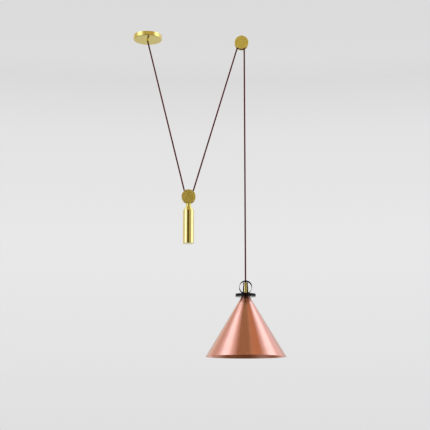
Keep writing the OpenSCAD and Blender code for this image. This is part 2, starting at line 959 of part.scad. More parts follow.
// Spun from sheet: a flat roof, the cone and a bead rolled outwards round the rim
module shade_cone() {
    bead_x = shade_d / 2 - rim_bead_r;
    bead_z = shade_rim_z + rim_bead_r;
    low_z = shade_rim_z - small;
    roof_z = disc_low_z - shade_t;
    top_r = shade_top_d / 2;
    color(copper)
        at_lamp()
            difference() {
                union() {
                    translate([0, 0, bead_z])
                        cylinder(r1 = bead_x, r2 = top_r, h = disc_low_z - bead_z);
                    rotate_extrude()
                        translate([bead_x, bead_z])
                            circle(r = rim_bead_r, $fn = 32);
                }
                translate([0, 0, low_z])
                    cylinder(
                        r1 = top_r + shade_tan * (disc_low_z - low_z) - shade_skin,
                        r2 = top_r + shade_tan * shade_t - shade_skin,
                        h = roof_z - low_z
                    );
                along_z(tube_thread_r + loose_fit, roof_z - small, disc_low_z + small);
            }
}

module shade_washer() {
    color(steel)
        at_lamp()
            translate([0, 0, -shade_t - shade_washer_t])
                difference() {
                    along_z(washer_d / 2, disc_low_z, disc_low_z + shade_washer_t);
                    along_z(tube_thread_r + loose_fit, disc_low_z - small, disc_low_z + 2 * shade_washer_t);
                }
}

module shade_locknut() {
    color(brass)
        at_lamp()
            difference() {
                translate([0, 0, locknut_z])
                    cylinder(r = locknut_r, h = locknut_t, $fn = 6);
                along_z(tube_thread_r + close_fit, locknut_z - small, locknut_z + locknut_t + small);
            }
}

// Its top edge slopes, so that it clears the inside of the cone
module holder_cap() {
    color(plastic_black)
        at_lamp()
            difference() {
                intersection() {
                    turned(holder_r, holder_seam_z, holder_top_z, 1);
                    translate([0, 0, holder_seam_z])
                        cylinder(
                            r1 = holder_r - holder_cap_slope + holder_cap_h,
                            r2 = holder_r - holder_cap_slope,
                            h = holder_cap_h
                        );
                }
                along_z(holder_r - holder_cap_wall, holder_seam_z - small, holder_top_z - holder_roof);
                along_z(tube_thread_r + close_fit, holder_seam_z, holder_top_z + small);
            }
}

module holder_shell() {
    color(plastic_black)
        at_lamp()
            difference() {
                union() {
                    turned(holder_r, holder_low_z, holder_seam_z, 1);
                    along_z(
                        holder_r - holder_cap_wall - close_fit,
                        holder_seam_z - 2, holder_seam_z + holder_spigot_h
                    );
                }
                along_z(screw_shell_r + close_fit, holder_low_z - small, holder_floor_z);
                along_z(contact_r + close_fit, holder_floor_z - small, holder_top_z);
                for (side = [-1, 1])
                    translate([side * holder_wire_x, 0, 0])
                        along_z(wire_d / 2 + loose_fit, holder_floor_z - small, holder_top_z);
            }
}

// Drawn from sheet: a plain tube, and a sloping corner between it and the pierced floor
module screw_shell() {
    corner_z = holder_floor_z - screw_shell_corner;
    inner_rise = screw_shell_corner - screw_shell_t;
    color(brass)
        at_lamp()
            difference() {
                union() {
                    along_z(screw_shell_r, screw_shell_low_z, corner_z);
                    translate([0, 0, corner_z - 0.01])
                        cylinder(
                            r1 = screw_shell_r, r2 = screw_shell_r - screw_shell_corner,
                            h = screw_shell_corner + 0.01
                        );
                }
                along_z(bulb_thread_d / 2, screw_shell_low_z - small, corner_z);
                translate([0, 0, corner_z - 0.01])
                    cylinder(
                        r1 = bulb_thread_d / 2, r2 = bulb_thread_d / 2 - inner_rise,
                        h = inner_rise + 0.01
                    );
                along_z(contact_head_r + 1.5, screw_shell_low_z, holder_floor_z + small);
            }
}

module centre_contact() {
    color(brass)
        at_lamp() {
            union() {
                along_z(contact_head_r, holder_floor_z - contact_head_h, holder_floor_z);
                along_z(contact_r, holder_floor_z - small, holder_seam_z + holder_spigot_h + 0.8);
            }
        }
}

// Two wires fan out from the cord's cut end to the terminals in the shell's floor
module holder_wires() {
    steps = 6;
    low = holder_seam_z + holder_spigot_h;
    color(dark_steel)
        at_lamp()
            for (side = [-1, 1]) {
                start = [side * (wire_d / 2 + 0.2), 0, lamp_cord_end_z - wire_start];
                entry = [side * holder_wire_x, 0, low];
                curve = [
                    for (s = [0 : steps])
                        bend(start, start - [0, 0, 1.8], entry + [0, 0, 3], entry, s / steps)
                ];
                cut_end = start + [0, 0, wire_start];
                wire(
                    concat([cut_end], curve, [entry - [0, 0, holder_floor_t - 2]]),
                    wire_d / 2, [0, 1, 0]
                );
            }
}

// ---- the cord between the pieces ----

module cord_left_run() {
    color(cord_red)
        straight_cord(left_start, 180 - left_slope, left_len);
}

module cord_weight_wrap() {
    color(cord_red)
        at_weight_pulley()
            cord_arc(pitch_r, 180 + left_slope, 360 - right_slope);
}

module cord_right_run() {
    color(cord_red)
        straight_cord(right_start, right_slope, right_len);
}

module cord_ceiling_wrap() {
    color(cord_red)
        at_ceiling_pulley()
            cord_arc(pitch_r, 0, 180 - right_slope);
}

module cord_drop_run() {
    color(cord_red)
        at_lamp()
            along_z(cord_r, drop_low_z + cord_seam, -pulley_drop - cord_seam);
}

module cord_in_lamp() {
    color(cord_red)
        at_lamp()
            along_z(cord_r, lamp_cord_end_z, drop_low_z);
}

canopy_cup();
canopy_strap();
canopy_outlet();
outlet_set_screw();
terminal_block();
terminal_screws();
block_screws();
earth_screw();
canopy_wires();
cord_in_canopy();
ceiling_front_disc();
ceiling_back_disc();
ceiling_hanger();
ceiling_disc_screws();
ceiling_axle();
ceiling_washers();
ceiling_sheave();
ceiling_bush();
weight_front_disc();
weight_back_disc();
weight_disc_screws();
weight_axle();
weight_washers();
weight_sheave();
weight_bush();
weight_neck();
weight_sleeve();
weight_core();
weight_end_cap();
weight_tie_stud();
hoop_band();
hoop_grommet();
hoop_saddle();
stem_cap();
stem_body();
cord_grip();
stem_set_screw();
lamp_nipple();
cap_disc();
shade_cone();
shade_washer();
shade_locknut();
holder_cap();
holder_shell();
screw_shell();
centre_contact();
holder_wires();
cord_left_run();
cord_weight_wrap();
cord_right_run();
cord_ceiling_wrap();
cord_drop_run();
cord_in_lamp();
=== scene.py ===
# %% [markdown]
# # Dressing a rise and fall pendant
# A copper shade hangs on one cloth-covered cord. The cord leaves a brass canopy, runs down
# under the pulley of a counterweight, up over a second pulley and down to the lamp.
# The construction comes packed and is loaded as a fixed frame, in metres, with +Z up, +X to
# the right and the front towards -Y. This lesson only dresses it: it sets up the view, lays
# the cords, lights them and gives every piece its finish.

# %% Load the frame
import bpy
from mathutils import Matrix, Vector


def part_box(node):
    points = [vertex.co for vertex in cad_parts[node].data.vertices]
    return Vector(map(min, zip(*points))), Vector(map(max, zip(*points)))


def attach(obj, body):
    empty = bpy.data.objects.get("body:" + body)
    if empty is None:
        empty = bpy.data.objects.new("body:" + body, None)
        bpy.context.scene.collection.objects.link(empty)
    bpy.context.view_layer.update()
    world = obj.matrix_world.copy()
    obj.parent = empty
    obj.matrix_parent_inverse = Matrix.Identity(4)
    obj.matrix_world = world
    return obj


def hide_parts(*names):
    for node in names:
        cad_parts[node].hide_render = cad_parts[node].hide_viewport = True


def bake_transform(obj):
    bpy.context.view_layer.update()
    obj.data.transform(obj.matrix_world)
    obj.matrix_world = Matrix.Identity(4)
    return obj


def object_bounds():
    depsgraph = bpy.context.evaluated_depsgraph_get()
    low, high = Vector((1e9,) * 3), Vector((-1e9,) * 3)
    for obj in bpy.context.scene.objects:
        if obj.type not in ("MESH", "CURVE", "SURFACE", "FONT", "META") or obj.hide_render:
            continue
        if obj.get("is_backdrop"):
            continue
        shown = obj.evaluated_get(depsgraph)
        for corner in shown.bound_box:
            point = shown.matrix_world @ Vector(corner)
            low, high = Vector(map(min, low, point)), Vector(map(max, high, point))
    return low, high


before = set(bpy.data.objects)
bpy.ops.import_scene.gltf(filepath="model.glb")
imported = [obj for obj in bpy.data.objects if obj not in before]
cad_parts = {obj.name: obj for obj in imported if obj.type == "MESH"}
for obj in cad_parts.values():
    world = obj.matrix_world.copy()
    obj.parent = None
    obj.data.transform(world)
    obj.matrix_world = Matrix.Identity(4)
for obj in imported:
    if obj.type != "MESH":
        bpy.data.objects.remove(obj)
cad_low, cad_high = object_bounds()
print("nodes:", len(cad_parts))

# %% Modules, and the length that all sizes are written in
import math

import bmesh
import bpy
from mathutils import Vector

MM = 0.001


def middle(node):
    """The centre of a node's box."""
    low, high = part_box(node)
    return (low + high) / 2


print("object, mm:", [round(side / MM) for side in cad_high - cad_low])

# %% [markdown]
# ## The view
# The lamp was seen from a few metres away and from below, with a long lens. The line of the
# ceiling stays level and upright things stay nearly upright, so the camera looks straight
# along +Y and is only tilted up. A longer lens further away would flatten the cone's rim to
# a line, and a nearer one would open it into an ellipse.

# %% Camera
CAMERA_PLACE = (0.305, -4.306, -1.6393)
CAMERA_TILT = 10.7
CAMERA_LENS = 83.8

camera_data = bpy.data.cameras.new("camera")
camera_data.lens = CAMERA_LENS
camera = bpy.data.objects.new("camera", camera_data)
camera.location = CAMERA_PLACE
camera.rotation_euler = (math.radians(90 + CAMERA_TILT), 0, 0)
bpy.context.scene.collection.objects.link(camera)
bpy.context.scene.camera = camera
print("camera:", tuple(camera.location), "lens", camera_data.lens)

# %% [markdown]
# ## The cord's route
# The cord is one length of round twisted flex in a braided cover. It hangs taut, so its
# route is straight lines and arcs of circles: a short bend at the canopy, half a turn under
# the counterweight's sheave and another over the ceiling sheave. A curve object could follow
# such a route, but here the route is worked out as points and a mesh tube is put round them.
# The two slopes come from the lines that touch the circles.

# %% Places on the route
CORD_R = middle("cord_drop_run").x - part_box("cord_drop_run")[0].x
PITCH_R = 12 * MM
BEND_ABOVE_MOUTH = 2.5 * MM
CORD_START = Vector((0, 0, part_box("cord_in_canopy")[1].z))
OUTLET_MOUTH = Vector((0, 0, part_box("canopy_outlet")[0].z))
BEND_CENTRE = OUTLET_MOUTH + Vector((PITCH_R, 0, BEND_ABOVE_MOUTH))
WEIGHT_AXLE = middle("weight_axle")
CEILING_AXLE = middle("ceiling_axle")
LAMP_X = CEILING_AXLE.x + PITCH_R
LAMP_CORD_END = Vector((LAMP_X, 0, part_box("cord_in_lamp")[0].z))

reach = WEIGHT_AXLE - BEND_CENTRE
rise = CEILING_AXLE - WEIGHT_AXLE
left_slope = math.degrees(math.atan2(reach.x, -reach.z))
right_slope = math.degrees(math.atan2(rise.x, rise.z) - math.asin(2 * PITCH_R / rise.length))
weight_first, weight_last = 180 + left_slope, 360 - right_slope
ceiling_first, ceiling_last = 180 - right_slope, 0
print("axles, mm:", *[[round(v / MM, 2) for v in axle] for axle in (WEIGHT_AXLE, CEILING_AXLE)])
print("slopes, degrees:", round(left_slope, 3), round(right_slope, 3))


# %% Lines and arcs
def on_circle(centre, degrees):
    """A point on a sheave's pitch circle, with degrees from +X towards +Z."""
    turn = math.radians(degrees)
    return centre + Vector((math.cos(turn), 0, math.sin(turn))) * PITCH_R


def arc(centre, first, last, step=7.5):
    """Points along a pitch circle."""
    count = max(2, math.ceil(abs(last - first) / step))
    return [on_circle(centre, first + (last - first) * i / count) for i in range(count + 1)]


def straight(first, last, spacing=16 * MM):
    """Points between two ends, both left out."""
    count = max(2, math.ceil((last - first).length / spacing))
    return [first.lerp(last, i / count) for i in range(1, count)]


weight_middle = (weight_first + weight_last) / 2
ceiling_middle = (ceiling_first + ceiling_last) / 2
left_top = on_circle(BEND_CENTRE, weight_first)
left_bottom = on_circle(WEIGHT_AXLE, weight_first)
right_bottom = on_circle(WEIGHT_AXLE, weight_last)
right_top = on_circle(CEILING_AXLE, ceiling_first)
drop_top = on_circle(CEILING_AXLE, ceiling_last)
drop_bottom = Vector((LAMP_X, 0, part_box("cord_drop_run")[0].z))

left_route = [CORD_START, *straight(CORD_START, on_circle(BEND_CENTRE, 180), 4 * MM)]
left_route += arc(BEND_CENTRE, 180, weight_first, 3)
left_route += straight(left_top, left_bottom) + arc(WEIGHT_AXLE, weight_first, weight_middle)
right_route = arc(WEIGHT_AXLE, weight_middle, weight_last)
right_route += straight(right_bottom, right_top)
right_route += arc(CEILING_AXLE, ceiling_first, ceiling_middle)
drop_route = arc(CEILING_AXLE, ceiling_middle, ceiling_last)
drop_route += [*straight(drop_top, drop_bottom), drop_bottom]
drop_route += [*straight(drop_bottom, LAMP_CORD_END), LAMP_CORD_END]


def length_of(route):
    return sum((b - a).length for a, b in zip(route, route[1:]))


print("routes, mm:", [round(length_of(r) / MM, 1) for r in (left_route, right_route, drop_route)])

# %% [markdown]
# ## The cord itself
# On the real lamp the braid runs on without a break. Three tubes share it here, one for
# each stretch between a pair of bodies: canopy to counterweight, counterweight to ceiling
# pulley, ceiling pulley to lamp. They meet in the sheaves' grooves, where the discs hide the
# joints. The tube's map counts turns round the cord and metres along it, carried on from one
# tube to the next, so that the braid drawn on it later matches too.

# %% A tube round a route
CORD_SIDES = 24


def link(name, mesh):
    piece = bpy.data.objects.new(name, mesh)
    bpy.context.scene.collection.objects.link(piece)
    return piece


def cord_tube(name, route, already):
    """A closed tube round a route in the XZ plane. already is the cord's length before it."""
    build = bmesh.new()
    across = Vector((0, 1, 0))
    rings, along, done = [], [], already
    for i, centre in enumerate(route):
        ahead = (route[min(i + 1, len(route) - 1)] - route[max(i - 1, 0)]).normalized()
        outward = ahead.cross(across)
        if i:
            done += (centre - route[i - 1]).length
        along.append(done)
        ring = []
        for side in range(CORD_SIDES):
            turn = math.tau * side / CORD_SIDES
            place = centre + (outward * math.cos(turn) + across * math.sin(turn)) * CORD_R
            ring.append(build.verts.new(place))
        rings.append(ring)
    turns = build.loops.layers.uv.new("turns_and_metres")
    for i in range(len(rings) - 1):
        for side in range(CORD_SIDES):
            after = (side + 1) % CORD_SIDES
            corners = [rings[i][side], rings[i][after], rings[i + 1][after], rings[i + 1][side]]
            face = build.faces.new(corners)
            face.smooth = True
            for loop, (s, k) in zip(face.loops, ((0, i), (1, i), (1, i + 1), (0, i + 1))):
                loop[turns].uv = ((side + s) / CORD_SIDES, along[k])
    build.faces.new(rings[0][::-1])
    build.faces.new(rings[-1])
    bmesh.ops.recalc_face_normals(build, faces=build.faces)
    mesh = bpy.data.meshes.new(name)
    build.to_mesh(mesh)
    build.free()
    return link(name, mesh)


# %% The three cords
CORDS = {
    "cord_canopy_to_weight": dict(
        route=left_route,
        exit=OUTLET_MOUTH,
        bodies=("ceiling", "counterweight"),
        bend=(left_top, left_bottom),
        nodes=("cord_in_canopy", "cord_left_run", "cord_weight_wrap"),
    ),
    "cord_weight_to_pulley": dict(
        route=right_route,
        exit=right_route[0],
        bodies=("counterweight", "ceiling"),
        bend=(right_bottom, right_top),
        nodes=("cord_right_run", "cord_ceiling_wrap"),
    ),
    "cord_pulley_to_lamp": dict(
        route=drop_route,
        exit=drop_route[0],
        bodies=("ceiling", "lamp"),
        bend=(drop_top, drop_bottom),
        nodes=("cord_drop_run", "cord_in_lamp"),
    ),
}
cords, cord_laid = [], 0
for name, cord in CORDS.items():
    tube = cord_tube(name, cord["route"], cord_laid)
    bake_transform(tube)
    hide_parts(*cord["nodes"])
    cord_laid += length_of(cord["route"])
    cords.append(tube)
print("cord in all, m:", round(cord_laid, 3))

# %% [markdown]
# ## Nodes without the clutter
# Every finish below is a small graph of shader nodes. One function adds any node, sets its
# properties and fills its sockets, either with a value or with a link. Another turns the
# sRGB hex colours that people write down into the linear values that a shader works with. A
# third lets a number pick a colour between two tones, which every finish here needs. A Mix
# node has sockets for several kinds of data, so its colours are its inputs 6 and 7 and its
# output 2.

# %% Helpers for shader graphs
COLOURS = dict(out=2, data_type="RGBA")


def linear(colour):
    """An sRGB hex colour as linear red, green, blue and alpha."""
    channels = [int(colour[i : i + 2], 16) / 255 for i in (1, 3, 5)]
    lit = [c / 12.92 if c <= 0.04045 else ((c + 0.055) / 1.055) ** 2.4 for c in channels]
    return (*lit, 1.0)


def add(tree, kind, inputs=(), out=0, **settings):
    """Adds a shader node and returns an output. inputs holds values or links, in order or by socket."""
    made = tree.nodes.new("ShaderNode" + kind)
    for name, value in settings.items():
        setattr(made, name, value)
    sockets = inputs.items() if isinstance(inputs, dict) else enumerate(inputs)
    for key, value in sockets:
        if isinstance(value, bpy.types.NodeSocket):
            tree.links.new(value, made.inputs[key])
        else:
            made.inputs[key].default_value = value
    return made.outputs[out] if made.outputs else None


def shaded(tree, value, span, first, second):
    """The colour that goes from the first to the second while a value crosses a span."""
    share = add(tree, "MapRange", [value, *span])
    return add(tree, "Mix", {0: share, 6: first, 7: second}, **COLOURS)


print("linear mid grey:", [round(c, 3) for c in linear("#808080")[:3]])

# %% [markdown]
# ## Studio
# Polished metal shows little of its own: it shows what stands round it. The bright bands on
# the weight and the shade are two tall softboxes, one at each side, each with a brighter tube
# behind its cloth, and the dark band down the middle is the unlit room behind the camera. So
# rays that bounce off a surface meet that studio, written as directions in the world. Rays
# from the camera meet a plain pale grey, and matt surfaces get an even light. Everything in
# the studio is a card with a range of facings and of heights. A card's facing is the way that
# an upright surface has to face to mirror it, in degrees from the camera and positive to the
# right, so a band on the weight and one on the shade can come from one card. Heights run from
# -1 below to 1 overhead. The cards lean to the left as they rise, by LEAN degrees over one
# unit of height. Far behind the object there is only a plain wall. Later cards in the list
# hang in front of earlier ones.

# %% The studio's parts
EVEN_LIGHT = (0.74, 0.74, 0.74, 1.0)
ROOM = (0.68, 0.6, 0.58, 1.0)
BACK_WALL = (0.64, 0.65, 0.62, 1.0)
CLOTH_GLOW = (0.9, 0.9, 1.04)
TUBE_GLOW = (1.45, 1.8, 2.3)
LEAN = 5
CARDS = [
    dict(name="left wall", facing=(-95, -58), heights=(-0.5, 1.2), glow=(0.8, 0.77, 0.72)),
    dict(name="left softbox", facing=(-43, -16), heights=(-0.5, 1.2), glow=CLOTH_GLOW),
    dict(name="its tube", facing=(-36, -21), heights=(-0.5, 1.2), glow=TUBE_GLOW),
    dict(name="unlit room", facing=(-11, 9), heights=(-0.4, 0.41), glow=(0.09, 0.055, 0.005)),
    dict(name="lit ceiling", facing=(-11, 9), heights=(0.41, 0.6), glow=(1.7, 1.62, 1.1)),
    dict(name="dark overhead", facing=(-11, 12), heights=(0.6, 1.0), glow=(0.13, 0.07, 0.045)),
    dict(name="right wall, low", facing=(9, 30), heights=(-0.4, 0.4), glow=(0.5, 0.44, 0.3)),
    dict(name="right wall, high", facing=(12, 30), heights=(0.4, 1.0), glow=(0.57, 0.33, 0.2)),
    dict(name="right softbox", facing=(29, 66), heights=(-0.5, 1.2), glow=CLOTH_GLOW),
    dict(name="its tube", facing=(35, 50), heights=(-0.5, 1.2), glow=TUBE_GLOW),
    dict(name="overhead lamp", facing=(-30, 30), heights=(0.98, 1.2), glow=(0.8, 0.7, 0.4)),
    dict(name="floor", facing=(-95, 95), heights=(-1.2, -0.5), glow=(0.12, 0.085, 0.055)),
]
print("cards:", [card["name"] for card in CARDS])

# %% Facing and height of a ray
world = bpy.data.worlds.new("studio")
bpy.context.scene.world = world
world.use_nodes = True
sky = world.node_tree
sky.nodes.clear()

ray = add(sky, "TexCoord", out="Generated")
ray_x, ray_y, ray_z = add(sky, "SeparateXYZ", [ray]).node.outputs
ahead = add(sky, "Math", [1.0, ray_y], operation="SUBTRACT")
bearing = add(sky, "Math", [ray_x, ahead], operation="ARCTAN2")
upright_facing = add(sky, "Math", [bearing, 180 / math.pi], operation="MULTIPLY")
leaning = add(sky, "Math", [ray_z, float(LEAN)], operation="MULTIPLY")
facing = add(sky, "Math", [upright_facing, leaning], operation="ADD")
print("nodes to read a ray:", len(sky.nodes))

# %% Hang the cards
SOFT_EDGE_FACING = 3
SOFT_EDGE_HEIGHT = 0.09
BACK_WALL_FADES_IN = (0.77, 0.93)


def between(value, low, high, edge):
    """1 between two values and 0 outside them, with soft edges."""
    past_low, past_high = [
        add(sky, "MapRange", [value, at - edge, at + edge], interpolation_type="SMOOTHSTEP")
        for at in (low, high)
    ]
    short_of_high = add(sky, "Math", [1.0, past_high], operation="SUBTRACT")
    return add(sky, "Math", [past_low, short_of_high], operation="MULTIPLY")


mirrored_room = ROOM
for card in CARDS:
    across = between(facing, *card["facing"], SOFT_EDGE_FACING)
    upwards = between(ray_z, *card["heights"], SOFT_EDGE_HEIGHT)
    inside = add(sky, "Math", [across, upwards], operation="MULTIPLY")
    glow = (*card["glow"], 1.0)
    mirrored_room = add(sky, "Mix", {0: inside, 6: mirrored_room, 7: glow}, **COLOURS)
far_back = [ray_y, *BACK_WALL_FADES_IN]
behind = add(sky, "MapRange", far_back, interpolation_type="SMOOTHSTEP")
mirrored_room = add(sky, "Mix", {0: behind, 6: mirrored_room, 7: BACK_WALL}, **COLOURS)
print("world nodes:", len(sky.nodes))

# %% [markdown]
# ## The backdrop
# The wall behind the lamp is a soft grey that brightens a little downwards and darkens again
# near the floor. Mixes that follow one another over the height of the camera's rays give
# that, from the bottom of the view to the top.

# %% What the camera sees
WALL_GREYS = [
    (-0.02, "#E0E0E0"),
    (0.07, "#E5E5E5"),
    (0.155, "#E8E8E8"),
    (0.2, "#E6E6E6"),
    (0.265, "#E3E3E3"),
    (0.315, "#DADADA"),
    (0.335, "#DDDDDD"),
    (0.385, "#DBDBDB"),
]
wall = linear(WALL_GREYS[0][1])
for (height, _), (next_height, grey) in zip(WALL_GREYS, WALL_GREYS[1:]):
    wall = shaded(sky, ray_z, (height, next_height), wall, linear(grey))
path = add(sky, "LightPath").node.outputs
glossy_or_clear = [path["Is Glossy Ray"], path["Is Transmission Ray"]]
mirrored = add(sky, "Math", glossy_or_clear, operation="MAXIMUM")
direct = add(sky, "Mix", {0: path["Is Camera Ray"], 6: EVEN_LIGHT, 7: wall}, **COLOURS)
shown = add(sky, "Mix", {0: mirrored, 6: direct, 7: mirrored_room}, **COLOURS)
background = add(sky, "Background", [shown, 1.0])
add(sky, "OutputWorld", [background])
print("greys:", [grey for _, grey in WALL_GREYS])

# %% [markdown]
# ## Floor and lamps
# The pendant hangs in the air, so the floor lies well below it and only catches a soft shadow.
# A softbox lamp on each side of the camera models the matt pieces. Their power is worked out
# from the brightness that they give to a matt white card where the object hangs. Mirror-like
# reflections come from the world, so the lamps are kept out of those.

# %% The floor
FLOOR_Z = -2.4
FLOOR_HALF = 20
floor_mesh = bpy.data.meshes.new("floor")
floor_signs = [(-1, -1), (1, -1), (1, 1), (-1, 1)]
floor_corners = [(x * FLOOR_HALF, y * FLOOR_HALF, FLOOR_Z) for x, y in floor_signs]
floor_mesh.from_pydata(floor_corners, [], [(0, 1, 2, 3)])
floor = link("floor", floor_mesh)
floor.visible_glossy = False
floor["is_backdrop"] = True
paper = bpy.data.materials.new("matt_paper_floor")
paper.use_nodes = True
sheet_of_paper = paper.node_tree.nodes["Principled BSDF"]
sheet_of_paper.inputs["Base Color"].default_value = linear("#D6D6D6")
sheet_of_paper.inputs["Roughness"].default_value = 0.95
sheet_of_paper.inputs["Specular IOR Level"].default_value = 0.1
floor_mesh.materials.append(paper)
print("floor at", FLOOR_Z)

# %% The lamps
HANGS_AT = Vector((0.3, 0, -0.8))


def lamp(name, place, side, level):
    """A square softbox that lights a card facing it at the object to that level."""
    data = bpy.data.lights.new(name, "AREA")
    data.size = side
    made = link(name, data)
    made.location = place
    aim = HANGS_AT - made.location
    made.rotation_euler = aim.to_track_quat("-Z", "Y").to_euler()
    data.energy = level * (math.pi * aim.length) ** 2
    made.visible_glossy = False


lamp("left_softbox", place=(-2.6, -2.2, 0.9), side=1.6, level=0.34)
lamp("right_softbox", place=(3.0, -1.6, 0.5), side=1.4, level=0.2)

# %% [markdown]
# ## Marks that a lathe leaves
# The brass, the copper and the steel were all turned or spun, so their fine marks run in
# circles round the piece's axis. A scratched image would need a map on every piece. Instead
# the graph measures how far a point is from the axis and how far along it, and noise that
# depends on these two numbers alone can only vary in rings. Real tool marks are 0.1 to 0.3 mm
# apart. That is too fine to show, so the finest rings here are 0.8 mm wide.

# %% Rings round an axis
UPRIGHT = Vector((0, 0, 1))
FRONTWARD = Vector((0, 1, 0))


def ring_place(tree, centre, axis):
    """The distance from an axis and along it, as a point in a plane."""
    place = add(tree, "TexCoord", out="Object")
    away = add(tree, "VectorMath", [place, centre], operation="SUBTRACT")
    flat = add(tree, "VectorMath", [away, Vector((1, 1, 1)) - axis], operation="MULTIPLY")
    radius = add(tree, "VectorMath", [flat], out="Value", operation="LENGTH")
    along = add(tree, "VectorMath", [away, axis], out="Value", operation="DOT_PRODUCT")
    return add(tree, "CombineXYZ", [radius, along])


CANOPY_AXIS = (Vector((0, 0, 0)), UPRIGHT)
WEIGHT_LINE = (Vector((WEIGHT_AXLE.x, 0, 0)), UPRIGHT)
LAMP_LINE = (Vector((LAMP_X, 0, 0)), UPRIGHT)
CEILING_PULLEY = (CEILING_AXLE, FRONTWARD)
WEIGHT_PULLEY = (WEIGHT_AXLE, FRONTWARD)
upright_lines = (CANOPY_AXIS, WEIGHT_LINE, LAMP_LINE)
print("upright axes at x, mm:", [round(line[0].x / MM) for line in upright_lines])

# %% A material and its sockets
NOISE_SPAN = (0.3, 0.7)


def finish_named(name, **sockets):
    """A new material and its shader, with sockets set by name."""
    material = bpy.data.materials.new(name)
    material.use_nodes = True
    shader = material.node_tree.nodes["Principled BSDF"]
    for socket, value in sockets.items():
        shader.inputs[socket.replace("_", " ")].default_value = value
    return material, material.node_tree, shader


def wire(tree, shader, **sockets):
    """Links outputs to the shader's sockets by name."""
    for socket, output in sockets.items():
        tree.links.new(output, shader.inputs[socket.replace("_", " ")])


print("noise mostly lies in", NOISE_SPAN)

# %% [markdown]
# ## Turned and spun metals
# Brass, copper and steel share one graph and differ in their colours and in how they were
# finished. Two tones stand for metal that was handled and lacquered unevenly: the rings and
# some soft patches move the colour between them and make the surface a little rougher or
# smoother. Clear lacquer lies over the brass and the copper. It adds a white gleam of its own
# where a softbox is mirrored, which is why copper highlights look nearly white. Marks too
# fine to draw still spread a highlight across their own direction. The shade's rings do so
# strongly, and the shader's anisotropy, turned to run with the rings, shows that as streaks
# down the cone.

# %% One graph for lathe-made metal
FINE_RING = 0.8 * MM
BROAD_RING = 7 * MM
HAND_PATCH = 28 * MM
MARK_DEPTH = 0.02 * MM
THREE_NOISES_SPAN = (1.1, 1.9)
SMOOTHEST, ROUGHEST = 0.8, 1.25
LACQUER = {"Coat Roughness": 0.1, "Coat IOR": 1.75}
QUARTER_TURN = 0.25


def turned_metal(name, centre, axis, tones, roughness, grain, lacquer=0.0, brushing=0.0):
    material, tree, shader = finish_named(name, Metallic=1.0)
    if brushing:
        shader.inputs["Anisotropic"].default_value = brushing
        shader.inputs["Anisotropic Rotation"].default_value = QUARTER_TURN
        wire(tree, shader, Tangent=add(tree, "Tangent", direction_type="RADIAL", axis="Z"))
    if lacquer:
        shader.inputs["Coat Weight"].default_value = lacquer
        for socket, value in LACQUER.items():
            shader.inputs[socket].default_value = value
    rings = ring_place(tree, centre, axis)
    place = add(tree, "TexCoord", out="Object")
    fine = add(tree, "TexNoise", {"Vector": rings, "Scale": 1 / FINE_RING, "Detail": 3})
    broad = add(tree, "TexNoise", {"Vector": rings, "Scale": 1 / BROAD_RING})
    patches = add(tree, "TexNoise", {"Vector": place, "Scale": 1 / HAND_PATCH, "Detail": 3})
    mixed = add(tree, "Math", [fine, broad], operation="ADD")
    mixed = add(tree, "Math", [mixed, patches], operation="ADD")
    uneven = [roughness * SMOOTHEST, roughness * ROUGHEST]
    wire(
        tree,
        shader,
        Base_Color=shaded(tree, mixed, THREE_NOISES_SPAN, *map(linear, tones)),
        Roughness=add(tree, "MapRange", [mixed, *THREE_NOISES_SPAN, *uneven]),
        Normal=add(tree, "Bump", {"Height": fine, "Strength": grain, "Distance": MARK_DEPTH}),
    )
    return material


print("ring widths, mm:", FINE_RING / MM, BROAD_RING / MM)

# %% [markdown]
# ## Brass
# The canopy, the discs and the weight's neck are lacquered brass with a satin face: cut to
# shape, turned with a fine feed and not buffed, so their reflections are wide and soft. The
# weight's sleeve and end cap were buffed to a mirror, and the stem a little less. Bushes,
# screws and contacts are bare brass as it comes off the lathe, a little duller and browner.

# %% Brass finishes
SATIN_TONES = ("#E9D26A", "#F2DC76")
POLISHED_TONES = ("#EDD97E", "#F5E18A")
BARE_TONES = ("#D9BE6A", "#E9D287")


def satin_brass(name, line, roughness=0.4):
    made_of = "brass_satin_lacquered_" + name
    return turned_metal(made_of, *line, SATIN_TONES, roughness, grain=0.05, lacquer=0.4)


def polished_brass(name, line, roughness=0.13):
    made_of = "brass_buffed_lacquered_" + name
    return turned_metal(made_of, *line, POLISHED_TONES, roughness, grain=0.05, lacquer=0.8)


def bare_brass(name, line):
    made_of = "brass_bare_turned_" + name
    return turned_metal(made_of, *line, BARE_TONES, roughness=0.3, grain=0.4)


print("brass tones:", SATIN_TONES, POLISHED_TONES, BARE_TONES)

# %% [markdown]
# ## Copper
# The shade is one disc of copper sheet, spun over a wooden cone while the roller left faint
# rings, then scoured fine and lacquered. Its softbox reflections keep clear but feathered
# edges.

# %% Copper finish
COPPER_TONES = ("#F0A282", "#F6A987")
copper = turned_metal(
    "copper_spun_lacquered",
    *LAMP_LINE,
    COPPER_TONES,
    roughness=0.34,
    grain=0.05,
    lacquer=1.0,
    brushing=1.0,
)
print(copper.name)

# %% [markdown]
# ## Steel
# The strap, the axles and most screws are steel with a bright zinc plating, whose crystals
# show as faint cloudy patches. The sheaves and the set screws are blackened steel: the black
# oxide is thin and lets some metal gleam through, in rings and patches.


# %% Steel finishes
CRYSTAL = 2.5 * MM
ZINC_CLOUD = 9 * MM
ZINC_TONES = ("#B4B9BC", "#D3D8DB")
ZINC_ROUGHNESS = (0.24, 0.4)
BLACK_OXIDE_TONES = ("#1E1E20", "#4B4A49")


